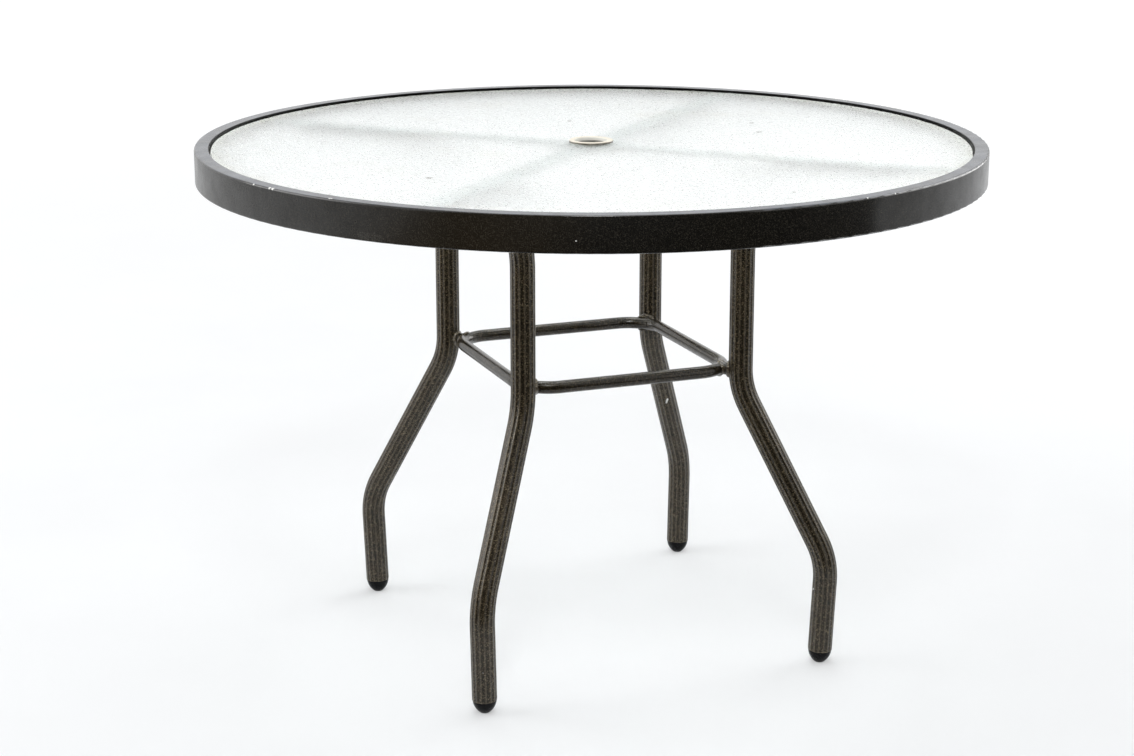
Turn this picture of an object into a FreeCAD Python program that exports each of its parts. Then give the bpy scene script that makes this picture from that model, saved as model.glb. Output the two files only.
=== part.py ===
import FreeCAD, Part
import math
import os

import Sketcher
from FreeCAD import Rotation, Vector

# Round umbrella table: a rolled rim with a recessed glass pane, radial bars on a hub ring under the
# glass, and four bent fluted legs tied by a brace ring. The origin is on the floor under the middle
# of the top, +Z is up, and the legs stand on the diagonals. All lengths are millimetres.

doc = FreeCAD.newDocument("umbrella_table")
os.makedirs("parts", exist_ok=True)

# Driving sizes. A reach is a distance from the table's axis, a height is above the floor.
sizes = {
    # top
    "topDiameter": 1067,
    "tableHeight": 702,
    "rimHeight": 45.5,
    "rimWidth": 19.5,
    "rimWall": 2,
    "rimOuterRounding": 2.4,
    "rimInnerRounding": 1.6,
    "drainHoleDiameter": 6,
    "lipWidth": 13,
    "lipThickness": 2.5,
    "paneRecess": 3.6,
    "paneThickness": 5,
    "paneSideGap": 2.5,
    "paneEdgeRounding": 0.8,
    "paneHoleDiameter": 51,
    "liftGap": 0.3,
    "stripThickness": 1.5,
    "stripWidth": 10,
    "stripInset": 1,
    "bumperDiameter": 12,
    "bumperInnerReach": 220,
    "bumperOuterReach": 385,
    # umbrella bush
    "grommetBore": 44,
    "grommetSideGap": 0.5,
    "grommetFlangeDiameter": 60,
    "grommetFlangeThickness": 3,
    "grommetRounding": 1.6,
    "grommetSleeveLength": 9,
    # bars under the pane
    "barWidth": 32,
    "barThickness": 6.5,
    "hubDiameter": 100,
    "hubHoleDiameter": 56,
    # legs
    "legDiameter": 33,
    "legWall": 2.2,
    "fluteCount": 16,
    "fluteDepth": 0.7,
    "fluteLand": 1.2,
    "legReach": 221.6,
    "legBendRadius": 102,
    "topRunReach": 445,
    "upperBendHeight": 378.5,
    "lowerBendHeight": 148,
    "lowerBendReach": 350.7,
    "footReach": 344.4,
    # feet and plugs
    "glideHeight": 18,
    "glideFlangeInset": 0.6,
    "glideFlangeHeight": 1.5,
    "glideDomeRadius": 24,
    "glideTipDiameter": 11,
    "glideWear": 0.6,
    "insertClearance": 0.1,
    "insertWall": 2,
    "glideStemLength": 22,
    "plugFlangeInset": 1,
    "plugFlangeThickness": 2,
    "plugStemLength": 14,
    # brace ring
    "braceDiameter": 17,
    "braceWall": 1.5,
    "braceHalfWidth": 149.5,
    "braceCornerRadius": 48,
    "braceHeight": 401.5,
    "ventHoleDiameter": 5,
    # fasteners
    "boltDiameter": 6.35,
    "threadClearance": 0.05,
    "boltHoleDiameter": 7.1,
    "boltHeadWidth": 11.1,
    "boltHeadHeight": 4.2,
    "boltTipGap": 0.5,
    "boltInnerReach": 350,
    "boltOuterReach": 420,
    "washerDiameter": 16,
    "washerThickness": 1.5,
}

sheet = doc.addObject("Spreadsheet::Sheet", "Sizes")
for row, (alias, value) in enumerate(sizes.items(), start=1):
    sheet.set(f"A{row}", alias)
    sheet.set(f"B{row}", str(value))
    sheet.setAlias(f"B{row}", alias)
doc.recompute()


def number(expression):
    """value of an expression in the sheet's names"""
    result = sheet.evalExpression(expression)
    return float(getattr(result, "Value", result))


# Heights and radii that follow from the driving sizes, as expressions.
rimOuter = "(Sizes.topDiameter / 2)"
rimInner = f"({rimOuter} - Sizes.rimWidth)"
rimTop = "Sizes.tableHeight"
rimBottom = "(Sizes.tableHeight - Sizes.rimHeight)"
lipInner = f"({rimInner} - Sizes.lipWidth)"
paneTop = "(Sizes.tableHeight - Sizes.paneRecess)"
paneBottom = f"({paneTop} - Sizes.paneThickness)"
stripTop = f"({paneBottom} - Sizes.liftGap)"
lipTop = f"({stripTop} - Sizes.stripThickness)"
barTop = f"({lipTop} - Sizes.lipThickness)"
barBottom = f"({barTop} - Sizes.barThickness)"
legRadius = "(Sizes.legDiameter / 2)"
legBore = f"({legRadius} - Sizes.legWall)"
insertRadius = f"({legBore} - Sizes.insertClearance)"
flutePitch = "(360 / Sizes.fluteCount)"
landHalfAngle = "(Sizes.fluteLand / Sizes.legDiameter * 180 / pi)"
# the bar rests on the two lands beside the topmost flute
restDrop = f"({legRadius} * cos({flutePitch} / 2 - {landHalfAngle}))"
runHeight = f"({barBottom} - {restDrop})"
upperTurn = (
    "atan((Sizes.lowerBendReach - Sizes.legReach)"
    " / (Sizes.upperBendHeight - Sizes.lowerBendHeight))"
)
footTurn = "atan((Sizes.lowerBendReach - Sizes.footReach) / Sizes.lowerBendHeight)"
footEndReach = (
    "(Sizes.footReach + (Sizes.lowerBendReach - Sizes.footReach)"
    " * Sizes.glideHeight / Sizes.lowerBendHeight)"
)
braceStraight = "(Sizes.braceHalfWidth - Sizes.braceCornerRadius)"
boltSeat = f"({runHeight} - {legRadius} - Sizes.washerThickness)"

# Turn of each corner's own +X axis about the table's axis.
corners = {"front_left": 225, "front_right": 315, "rear_right": 45, "rear_left": 135}

subparts = []


def keep(piece, label, turn=0):
    """name a finished sub-part and turn it to its corner"""
    piece.Label = label
    piece.Placement = FreeCAD.Placement(Vector(0, 0, 0), Rotation(Vector(0, 0, 1), turn))
    subparts.append(piece)
    return piece


def newBody(name):
    return doc.addObject("PartDesign::Body", f"{name}_body")


def addSketch(body, name, role, **offsets):
    """sketch on one of the body's own origin planes, shifted by expressions"""
    sketch = body.newObject("Sketcher::SketchObject", f"{body.Name}_{name}")
    planes = [item for item in body.Origin.OriginFeatures if item.Role == role]
    sketch.AttachmentSupport = [(planes[0], "")]
    sketch.MapMode = "FlatFace"
    for axis, expression in offsets.items():
        sketch.setExpression(f"AttachmentOffset.Base.{axis}", expression)
    doc.recompute()
    return sketch


def bindConstraints(sketch, rules):
    """add constraints together, each with the expression that drives it or None"""
    first = sketch.ConstraintCount
    sketch.addConstraint([rule for rule, expression in rules])
    for index, (rule, expression) in enumerate(rules, start=first):
        if expression is not None:
            sketch.setExpression(f"Constraints[{index}]", expression)


def holdPoint(geometry, point, x, y):
    """constraints that hold a point of the geometry at x, y from the sketch's origin"""
    return [
        (Sketcher.Constraint("DistanceX", -1, 1, geometry, point, number(x)), x),
        (Sketcher.Constraint("DistanceY", -1, 1, geometry, point, number(y)), y),
    ]


def arcBetween(start, end, radius, side):
    """the shorter arc from start to end, with its centre to the left or right of the way"""
    chord = end - start
    left = Vector(-chord.y, chord.x, 0).normalize()
    rise = math.sqrt(max(radius**2 - (chord.Length / 2) ** 2, 0))
    centre = (start + end) * 0.5 + left * (rise if side == "left" else -rise)
    begin, finish = (start, end) if side == "left" else (end, start)
    low = math.atan2(begin.y - centre.y, begin.x - centre.x)
    high = math.atan2(finish.y - centre.y, finish.x - centre.x)
    if high < low:
        high += 2 * math.pi
    return Part.ArcOfCircle(Part.Circle(centre, Vector(0, 0, 1), radius), low, high)


def drawPath(sketch, points, bends=None, closed=True):
    """draw lines through the points, or an arc where bends gives a radius and its centre's side"""
    bends = bends or {}
    spots = [Vector(number(x), number(y), 0) for x, y in points]
    count = len(spots) if closed else len(spots) - 1
    ends = []
    rules = []
    for index in range(count):
        start = spots[index]
        end = spots[(index + 1) % len(spots)]
        if index in bends:
            radius, side = bends[index]
            geometry = sketch.addGeometry(arcBetween(start, end, number(radius), side))
            rules.append((Sketcher.Constraint("Radius", geometry, number(radius)), radius))
            ends.append((geometry, 1, 2) if side == "left" else (geometry, 2, 1))
        else:
            ends.append((sketch.addGeometry(Part.LineSegment(start, end)), 1, 2))
        geometry, first, last = ends[-1]
        rules += holdPoint(geometry, first, *points[index])
    if not closed:
        geometry, first, last = ends[-1]
        rules += holdPoint(geometry, last, *points[-1])
    for index, (geometry, first, last) in enumerate(ends):
        if closed or index < count - 1:
            following, joint, far = ends[(index + 1) % count]
            rules.append((Sketcher.Constraint("Coincident", geometry, last, following, joint), None))
    bindConstraints(sketch, rules)


def drawCircle(sketch, diameter, x="0", y="0"):
    centre = Vector(number(x), number(y), 0)
    circle = Part.Circle(centre, Vector(0, 0, 1), number(diameter) / 2)
    geometry = sketch.addGeometry(circle)
    rules = holdPoint(geometry, 3, x, y)
    rules.append((Sketcher.Constraint("Diameter", geometry, number(diameter)), diameter))
    bindConstraints(sketch, rules)


def pad(body, sketch, length):
    feature = body.newObject("PartDesign::Pad", f"{sketch.Name}_pad")
    feature.Profile = sketch
    feature.setExpression("Length", length)
    doc.recompute()
    return feature


def pocket(body, sketch, length, midplane=False):
    """cut downwards from the sketch, or both ways, and make sure that something was cut"""
    before = body.Shape.Volume
    feature = body.newObject("PartDesign::Pocket", f"{sketch.Name}_pocket")
    feature.Profile = sketch
    feature.Midplane = midplane
    feature.setExpression("Length", length)
    doc.recompute()
    if feature.Shape.Volume >= before:
        raise RuntimeError(f"{sketch.Name} cuts nothing")
    return feature


def revolve(body, sketch, axis):
    feature = body.newObject("PartDesign::Revolution", f"{sketch.Name}_turn")
    feature.Profile = sketch
    feature.ReferenceAxis = (sketch, [axis])
    feature.Angle = 360
    doc.recompute()
    return feature


def pipe(body, section, spine, kind="Additive"):
    """sweep the section along the spine and compare the change in volume with area times length"""
    before = body.Shape.Volume if kind == "Subtractive" else 0
    feature = body.newObject(f"PartDesign::{kind}Pipe", f"{section.Name}_pipe")
    feature.Profile = section
    feature.Spine = (spine, [])
    doc.recompute()
    wires = sorted(section.Shape.Wires, key=lambda wire: wire.BoundBox.DiagonalLength)
    area = Part.Face(wires[-1]).Area - sum(Part.Face(wire).Area for wire in wires[:-1])
    expected = area * spine.Shape.Length
    change = abs(feature.Shape.Volume - before)
    if abs(change - expected) > 0.001 * expected:
        raise RuntimeError(f"{section.Name} swept to a wrong volume")
    return feature


def ringPad(label, outerDiameter, innerDiameter, base, height):
    """flat ring about the table's axis"""
    body = newBody(label)
    sketch = addSketch(body, "plan", "XY_Plane", z=base)
    drawCircle(sketch, outerDiameter)
    drawCircle(sketch, innerDiameter)
    pad(body, sketch, height)
    return body


def roundEdges(body, radius):
    """round every circular edge of the body's last feature"""
    feature = body.Tip
    edges = [
        f"Edge{index}"
        for index, edge in enumerate(feature.Shape.Edges, start=1)
        if isinstance(edge.Curve, Part.Circle)
    ]
    rounding = body.newObject("PartDesign::Fillet", f"{body.Name}_rounding")
    rounding.Base = (feature, edges)
    rounding.setExpression("Radius", radius)
    doc.recompute()


def cylinder(name, radius, height, x="0", z="0", alongX=False):
    """cylinder from (x, 0, z) upwards, or outwards along +X"""
    item = doc.addObject("Part::Cylinder", name)
    item.setExpression("Radius", radius)
    item.setExpression("Height", height)
    if alongX:
        item.Placement = FreeCAD.Placement(Vector(0, 0, 0), Rotation(Vector(0, 1, 0), 90))
    item.setExpression("Placement.Base.x", x)
    item.setExpression("Placement.Base.z", z)
    return item


def cut(name, base, *tools):
    """base less each tool in turn"""
    for index, tool in enumerate(tools, start=1):
        result = doc.addObject("Part::Cut", f"{name}_cut{index}")
        result.Base = base
        result.Tool = tool
        base = result
    return base


def fuse(name, base, tool):
    result = doc.addObject("Part::Fuse", name)
    result.Base = base
    result.Tool = tool
    return result


def group(label, members):
    """one node that holds equal pieces as separate solids"""
    compound = doc.addObject("Part::Compound", label)
    compound.Links = members
    keep(compound, label)


def rimRing():
    """hollow extrusion rolled to a ring: outer band, flat ledge, pane rebate and inner lip"""
    body = newBody("rim_ring")
    section = addSketch(body, "section", "XZ_Plane")
    edge = "Sizes.rimOuterRounding"
    small = "Sizes.rimInnerRounding"
    points = [
        (f"{rimOuter} - {edge}", rimBottom),
        (rimOuter, f"{rimBottom} + {edge}"),
        (rimOuter, f"{rimTop} - {edge}"),
        (f"{rimOuter} - {edge}", rimTop),
        (f"{rimInner} + {small}", rimTop),
        (rimInner, f"{rimTop} - {small}"),
        (rimInner, lipTop),
        (lipInner, lipTop),
        (lipInner, barTop),
        (rimInner, barTop),
        (rimInner, rimBottom),
    ]
    drawPath(section, points, {0: (edge, "left"), 2: (edge, "left"), 4: (small, "left")})
    inside = f"{rimInner} + Sizes.rimWall"
    outside = f"{rimOuter} - Sizes.rimWall"
    floor = f"{rimBottom} + Sizes.rimWall"
    roof = f"{rimTop} - Sizes.rimWall"
    drawPath(section, [(inside, floor), (outside, floor), (outside, roof), (inside, roof)])
    revolve(body, section, "V_Axis")
    drains = addSketch(body, "drains", "XY_Plane", z=f"{rimBottom} + Sizes.rimHeight / 2")
    middle = f"({rimOuter} - Sizes.rimWidth / 2)"
    for x, y in ((middle, "0"), ("0", middle), (f"-{middle}", "0"), ("0", f"-{middle}")):
        drawCircle(drains, "Sizes.drainHoleDiameter", x, y)
    pocket(body, drains, "Sizes.rimHeight")
    keep(body, "rim_ring")


def glassPane():
    diameter = f"({rimInner} - Sizes.paneSideGap) * 2"
    pane = ringPad("glass_pane", diameter, "Sizes.paneHoleDiameter", paneBottom, "Sizes.paneThickness")
    roundEdges(pane, "Sizes.paneEdgeRounding")
    keep(pane, "glass_pane")


def glazingStrip():
    inner = f"({lipInner} + Sizes.stripInset)"
    outer = f"({inner} + Sizes.stripWidth)"
    strip = ringPad("glazing_strip", f"{outer} * 2", f"{inner} * 2", lipTop, "Sizes.stripThickness")
    keep(strip, "glazing_strip")


def hubRing():
    hub = ringPad(
        "hub_ring", "Sizes.hubDiameter", "Sizes.hubHoleDiameter", barBottom, "Sizes.barThickness"
    )
    keep(hub, "hub_ring")


def umbrellaGrommet():
    """flanged bush that lines the pane's hole for the umbrella pole"""
    body = newBody("umbrella_grommet")
    section = addSketch(body, "section", "XZ_Plane")
    bore = "(Sizes.grommetBore / 2)"
    sleeve = "(Sizes.paneHoleDiameter / 2 - Sizes.grommetSideGap)"
    flange = "(Sizes.grommetFlangeDiameter / 2)"
    seat = f"({paneTop} + Sizes.liftGap)"
    crown = f"({seat} + Sizes.grommetFlangeThickness)"
    foot = f"({seat} - Sizes.grommetSleeveLength)"
    soft = "Sizes.grommetRounding"
    points = [
        (bore, foot),
        (sleeve, foot),
        (sleeve, seat),
        (flange, seat),
        (flange, f"{crown} - {soft}"),
        (f"{flange} - {soft}", crown),
        (f"{bore} + {soft}", crown),
        (bore, f"{crown} - {soft}"),
    ]
    drawPath(section, points, {4: (soft, "left"), 6: (soft, "left")})
    revolve(body, section, "V_Axis")
    keep(body, "umbrella_grommet")


def crossbar(corner, turn):
    """flat bar from the hub ring to the rim's inner wall, drilled for two leg bolts"""
    label = f"{corner}_crossbar"
    body = newBody(label)
    plan = addSketch(body, "plan", "XY_Plane", z=barBottom)
    half = "(Sizes.barWidth / 2)"
    hub = "(Sizes.hubDiameter / 2)"
    near = f"sqrt({hub} ^ 2 - {half} ^ 2)"
    far = f"sqrt({rimInner} ^ 2 - {half} ^ 2)"
    points = [(near, f"-{half}"), (far, f"-{half}"), (far, half), (near, half)]
    drawPath(plan, points, {1: (rimInner, "left"), 3: (hub, "right")})
    for reach in ("Sizes.boltInnerReach", "Sizes.boltOuterReach"):
        drawCircle(plan, "Sizes.boltDiameter + 2 * Sizes.threadClearance", reach)
    pad(body, plan, "Sizes.barThickness")
    keep(body, label, turn)


def drawFlutedSection(sketch):
    """tube section: narrow lands on the outside circle with a hollow flute between each pair"""
    halfFlute = f"({flutePitch} / 2 - {landHalfAngle})"
    sag = f"({legRadius} * cos({halfFlute}) - {legRadius} + Sizes.fluteDepth)"
    fluteRadius = f"((({legRadius} * sin({halfFlute})) ^ 2 + {sag} ^ 2) / (2 * {sag}))"
    points = []
    flutes = {}
    for index in range(round(number("Sizes.fluteCount"))):
        middle = f"({index} + 0.5) * {flutePitch}"
        for angle in (f"({middle} - {landHalfAngle})", f"({middle} + {landHalfAngle})"):
            points.append((f"{legRadius} * cos({angle})", f"{legRadius} * sin({angle})"))
        flutes[2 * index + 1] = (fluteRadius, "right")
    drawPath(sketch, points, flutes)
    drawCircle(sketch, f"{legBore} * 2")


def leg(corner, turn):
    """bent fluted tube: level run under the bar, upright, splayed shank and toed-in foot"""
    label = f"{corner}_leg"
    body = newBody(label)
    bend = "Sizes.legBendRadius"
    upperTangent = f"({bend} * tan({upperTurn} / 2))"
    lowerTangent = f"({bend} * tan(({upperTurn} + {footTurn}) / 2))"
    points = [
        ("Sizes.topRunReach", runHeight),
        (f"Sizes.legReach + {bend}", runHeight),
        ("Sizes.legReach", f"{runHeight} - {bend}"),
        ("Sizes.legReach", f"Sizes.upperBendHeight + {upperTangent}"),
        (
            f"Sizes.legReach + {upperTangent} * sin({upperTurn})",
            f"Sizes.upperBendHeight - {upperTangent} * cos({upperTurn})",
        ),
        (
            f"Sizes.lowerBendReach - {lowerTangent} * sin({upperTurn})",
            f"Sizes.lowerBendHeight + {lowerTangent} * cos({upperTurn})",
        ),
        (
            f"Sizes.lowerBendReach - {lowerTangent} * sin({footTurn})",
            f"Sizes.lowerBendHeight - {lowerTangent} * cos({footTurn})",
        ),
        (footEndReach, "Sizes.glideHeight"),
    ]
    spine = addSketch(body, "spine", "XZ_Plane")
    drawPath(spine, points, {1: (bend, "left"), 3: (bend, "left"), 5: (bend, "right")}, closed=False)
    section = addSketch(body, "section", "YZ_Plane", y=runHeight, z="Sizes.topRunReach")
    drawFlutedSection(section)
    pipe(body, section, spine)
    drilling = addSketch(body, "drilling", "XY_Plane", z=runHeight)
    for reach in ("Sizes.boltInnerReach", "Sizes.boltOuterReach"):
        drawCircle(drilling, "Sizes.boltHoleDiameter", reach)
    pocket(body, drilling, "Sizes.legDiameter * 1.5", midplane=True)
    keep(body, label, turn)


def endPlug(corner, turn):
    """push-in plug that closes the level run's open end"""
    label = f"{corner}_plug"
    body = newBody(label)
    section = addSketch(body, "section", "XZ_Plane", x="Sizes.topRunReach", y=runHeight)
    flange = f"({legRadius} - Sizes.plugFlangeInset)"
    wall = f"({insertRadius} - Sizes.insertWall)"
    points = [
        ("0", "0"),
        ("Sizes.plugFlangeThickness", "0"),
        ("Sizes.plugFlangeThickness", flange),
        ("0", flange),
        ("0", insertRadius),
        ("-Sizes.plugStemLength", insertRadius),
        ("-Sizes.plugStemLength", wall),
        ("0", wall),
    ]
    drawPath(section, points)
    revolve(body, section, "H_Axis")
    keep(body, label, turn)


def glide(corner, turn):
    """domed foot pushed into the tube's end, worn to a small flat where it meets the floor"""
    label = f"{corner}_glide"
    body = newBody(label)
    section = addSketch(body, "section", "XZ_Plane", x=footEndReach, y="Sizes.glideHeight")
    section.setExpression("AttachmentOffset.Rotation.Angle", f"-{footTurn}")
    flange = f"({legRadius} - Sizes.glideFlangeInset)"
    wall = f"({insertRadius} - Sizes.insertWall)"
    drop = "(Sizes.glideHeight + Sizes.glideWear)"
    points = [
        ("0", f"-{drop}"),
        ("Sizes.glideTipDiameter / 2", f"-{drop}"),
        (flange, "-Sizes.glideFlangeHeight"),
        (flange, "0"),
        (insertRadius, "0"),
        (insertRadius, "Sizes.glideStemLength"),
        (wall, "Sizes.glideStemLength"),
        (wall, "0"),
        ("0", "0"),
    ]
    drawPath(section, points, {1: ("Sizes.glideDomeRadius", "left")})
    revolve(body, section, "V_Axis")
    worn = addSketch(body, "worn", "XY_Plane")
    drawCircle(worn, "Sizes.legDiameter * 2", footEndReach)
    pocket(body, worn, "Sizes.legDiameter")
    keep(body, label, turn)


def braceRing():
    """plain tube bent to a square ring with round corners, with a vent hole under each side"""
    body = newBody("brace_ring")
    half = "Sizes.braceHalfWidth"
    bend = "Sizes.braceCornerRadius"
    points = [
        (half, f"-{braceStraight}"),
        (half, braceStraight),
        (braceStraight, half),
        (f"-{braceStraight}", half),
        (f"-{half}", braceStraight),
        (f"-{half}", f"-{braceStraight}"),
        (f"-{braceStraight}", f"-{half}"),
        (braceStraight, f"-{half}"),
    ]
    spine = addSketch(body, "spine", "XY_Plane", z="Sizes.braceHeight")
    drawPath(spine, points, {index: (bend, "left") for index in (1, 3, 5, 7)})
    bore = "Sizes.braceDiameter - 2 * Sizes.braceWall"
    for name, diameter, kind in (
        ("section", "Sizes.braceDiameter", "Additive"),
        ("bore", bore, "Subtractive"),
    ):
        section = addSketch(body, name, "XZ_Plane", z=braceStraight)
        drawCircle(section, diameter, half, "Sizes.braceHeight")
        pipe(body, section, spine, kind)
    vents = addSketch(body, "vents", "XY_Plane", z="Sizes.braceHeight")
    for x, y in ((half, "0"), ("0", half), (f"-{half}", "0"), ("0", f"-{half}")):
        drawCircle(vents, "Sizes.ventHoleDiameter", x, y)
    pocket(body, vents, "Sizes.braceDiameter")
    keep(body, "brace_ring")


def stub(corner, turn):
    """short tube from the brace ring's corner to the leg, coped to both"""
    label = f"{corner}_stub"
    cornerReach = f"(sqrt(2) * {braceStraight})"
    ringReach = f"({cornerReach} + Sizes.braceCornerRadius)"
    length = f"Sizes.legReach - {ringReach}"
    radius = "(Sizes.braceDiameter / 2)"
    height = "Sizes.braceHeight"
    tube = cylinder(f"{label}_tube", radius, length, ringReach, height, alongX=True)
    bore = cylinder(
        f"{label}_bore", f"{radius} - Sizes.braceWall", length, ringReach, height, alongX=True
    )
    bend = doc.addObject("Part::Torus", f"{label}_ring")
    bend.setExpression("Radius1", "Sizes.braceCornerRadius")
    bend.setExpression("Radius2", radius)
    # turned so that its seam lies away from the tube
    bend.Placement = FreeCAD.Placement(Vector(0, 0, 0), Rotation(Vector(0, 0, 1), 180))
    bend.setExpression("Placement.Base.x", cornerReach)
    bend.setExpression("Placement.Base.z", height)
    upright = cylinder(
        f"{label}_upright",
        legRadius,
        "Sizes.braceDiameter * 2",
        "Sizes.legReach",
        f"{height} - Sizes.braceDiameter",
    )
    keep(cut(label, tube, bore, bend, upright), label, turn)


def paneBumpers():
    """soft discs on the crossbars under the pane"""
    members = []
    for corner, turn in corners.items():
        for place, reach in (("inner", "Sizes.bumperInnerReach"), ("outer", "Sizes.bumperOuterReach")):
            disc = cylinder(
                f"{corner}_{place}_bumper",
                "Sizes.bumperDiameter / 2",
                f"{stripTop} - {barTop}",
                f"{reach} * cos({turn})",
                barTop,
            )
            disc.setExpression("Placement.Base.y", f"{reach} * sin({turn})")
            members.append(disc)
    group("pane_bumpers", members)


def turnedCopy(name, solid, turn):
    """piece built on the +X axis, turned to its corner"""
    solid.Placement = FreeCAD.Placement(Vector(0, 0, 0), Rotation(Vector(0, 0, 1), turn))
    solid.Label = name
    return solid


def legBolts():
    """hex bolts up through the level runs into the crossbars"""
    members = []
    for corner, turn in corners.items():
        for place, reach in (("inner", "Sizes.boltInnerReach"), ("outer", "Sizes.boltOuterReach")):
            name = f"{corner}_{place}_bolt"
            length = f"{barTop} - Sizes.boltTipGap - {boltSeat}"
            shank = cylinder(f"{name}_shank", "Sizes.boltDiameter / 2", length, reach, boltSeat)
            head = doc.addObject("Part::Prism", f"{name}_head")
            head.Polygon = 6
            head.setExpression("Circumradius", "Sizes.boltHeadWidth / sqrt(3)")
            head.setExpression("Height", "Sizes.boltHeadHeight")
            head.setExpression("Placement.Base.x", reach)
            head.setExpression("Placement.Base.z", f"{boltSeat} - Sizes.boltHeadHeight")
            members.append(turnedCopy(name, fuse(f"{name}_whole", shank, head), turn))
    group("leg_bolts", members)


def saddleWashers():
    """washers that are flat for the bolt head and hollow for the round tube"""
    members = []
    for corner, turn in corners.items():
        for place, reach in (("inner", "Sizes.boltInnerReach"), ("outer", "Sizes.boltOuterReach")):
            name = f"{corner}_{place}_washer"
            radius = "(Sizes.washerDiameter / 2)"
            height = f"Sizes.washerThickness + {legRadius} - sqrt({legRadius} ^ 2 - {radius} ^ 2)"
            disc = cylinder(f"{name}_disc", radius, height, reach, boltSeat)
            hole = cylinder(f"{name}_hole", "Sizes.boltHoleDiameter / 2", height, reach, boltSeat)
            saddle = cylinder(
                f"{name}_saddle",
                legRadius,
                "Sizes.washerDiameter * 2",
                f"{reach} - Sizes.washerDiameter",
                runHeight,
                alongX=True,
            )
            members.append(turnedCopy(name, cut(name, disc, hole, saddle), turn))
    group("saddle_washers", members)


rimRing()
glassPane()
glazingStrip()
hubRing()
umbrellaGrommet()
braceRing()
for corner, turn in corners.items():
    crossbar(corner, turn)
    leg(corner, turn)
    stub(corner, turn)
    glide(corner, turn)
    endPlug(corner, turn)
paneBumpers()
legBolts()
saddleWashers()
doc.recompute()

for item in doc.Objects:
    if "Invalid" in item.State or "Error" in item.State:
        raise RuntimeError(f"{item.Label} did not recompute: {item.State}")
for piece in subparts:
    if piece.Shape.isNull() or not piece.Shape.isValid():
        raise RuntimeError(f"{piece.Label} has no valid shape")
for piece in subparts:
    piece.Shape.exportStep(f"parts/{piece.Label}.step")
    print(f"{piece.Label}: {len(piece.Shape.Solids)} solid, {piece.Shape.Volume / 1000:.1f} cm3")
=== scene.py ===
import math

import bpy
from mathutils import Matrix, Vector


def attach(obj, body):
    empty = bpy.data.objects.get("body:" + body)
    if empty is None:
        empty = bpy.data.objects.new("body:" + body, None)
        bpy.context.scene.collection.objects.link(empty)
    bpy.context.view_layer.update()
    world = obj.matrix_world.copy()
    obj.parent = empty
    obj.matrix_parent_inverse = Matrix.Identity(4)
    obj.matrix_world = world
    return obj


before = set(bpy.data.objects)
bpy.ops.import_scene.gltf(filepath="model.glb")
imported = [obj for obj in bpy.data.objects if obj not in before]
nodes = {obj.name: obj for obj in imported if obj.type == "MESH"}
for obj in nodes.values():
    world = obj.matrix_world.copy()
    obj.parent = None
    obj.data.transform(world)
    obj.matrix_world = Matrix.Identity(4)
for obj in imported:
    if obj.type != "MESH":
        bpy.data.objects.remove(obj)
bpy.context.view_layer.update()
print("stage: the table's solids are loaded")

cornerTurns = {"front_left": 225, "front_right": 315, "rear_right": 45, "rear_left": 135}  # degrees from +X
noiseSpan = (0.3, 0.7)  # where most values of a noise texture lie


# helpers for shader trees
def addNode(tree, kind, inputs=None, **settings):
    node = tree.nodes.new(kind)
    for key, value in settings.items():
        setattr(node, key, value)
    for key, value in (inputs or {}).items():
        if isinstance(value, bpy.types.NodeSocket):
            tree.links.new(value, node.inputs[key])
        else:
            node.inputs[key].default_value = value
    return node


def calc(tree, operation, first, second=0.0):  # the result is clamped to 0 to 1
    node = addNode(tree, "ShaderNodeMath", {0: first, 1: second}, operation=operation, use_clamp=True)
    return node.outputs[0]


def remap(tree, value, span, result=(0.0, 1.0)):
    return addNode(tree, "ShaderNodeMapRange", {"Value": value, "From Min": span[0], "From Max": span[1],
                                                "To Min": result[0], "To Max": result[1]}).outputs["Result"]


def blendColour(tree, factor, first, second, mode="MIX"):
    return addNode(tree, "ShaderNodeMix", {0: factor, 6: first, 7: second},
                   data_type="RGBA", blend_type=mode).outputs[2]


def noise(tree, vector, scale, detail, rough=0.55):
    return addNode(tree, "ShaderNodeTexNoise",
                   {"Vector": vector, "Scale": scale, "Detail": detail, "Roughness": rough}).outputs[0]


def addPart(tree, vector, axis):  # one coordinate of a vector
    return addNode(tree, "ShaderNodeSeparateXYZ", {0: vector}).outputs[axis]


def addReach(tree, place):  # distance from the table's upright axis
    level = addNode(tree, "ShaderNodeVectorMath", {0: place, 1: (1, 1, 0)}, operation="MULTIPLY").outputs[0]
    return addNode(tree, "ShaderNodeVectorMath", {0: level}, operation="LENGTH").outputs["Value"]


def addFacing(tree):  # 1 where a surface faces straight up, 0 where it stands upright
    return addPart(tree, addNode(tree, "ShaderNodeNewGeometry").outputs["Normal"], "Z")


def newGroup(name, vectors, numbers, results):  # places and numbers in, masks out
    group = bpy.data.node_groups.new(name, "ShaderNodeTree")
    for label in vectors:
        group.interface.new_socket(label, in_out="INPUT", socket_type="NodeSocketVector")
    for label, value in numbers.items():
        socket = group.interface.new_socket(label, in_out="INPUT", socket_type="NodeSocketFloat")
        socket.default_value = value
    for label in results:
        group.interface.new_socket(label, in_out="OUTPUT", socket_type="NodeSocketFloat")
    return group, group.nodes.new("NodeGroupInput").outputs, group.nodes.new("NodeGroupOutput").inputs


def useGroup(tree, group, inputs):
    return addNode(tree, "ShaderNodeGroup", inputs, node_tree=group).outputs


def newMaterial(name, specular=0.5, **plain):
    material = bpy.data.materials.new(name)
    material.use_nodes = True
    tree = material.node_tree
    shader = tree.nodes["Principled BSDF"]
    shader.inputs["Specular IOR Level"].default_value = specular
    for key, value in plain.items():
        shader.inputs[key.replace("_", " ")].default_value = value
    place = tree.nodes.new("ShaderNodeTexCoord").outputs["Object"]
    return material, tree, shader, place


def feed(tree, shader, sockets):
    for key, value in sockets.items():
        tree.links.new(value, shader.inputs[key])


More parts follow.
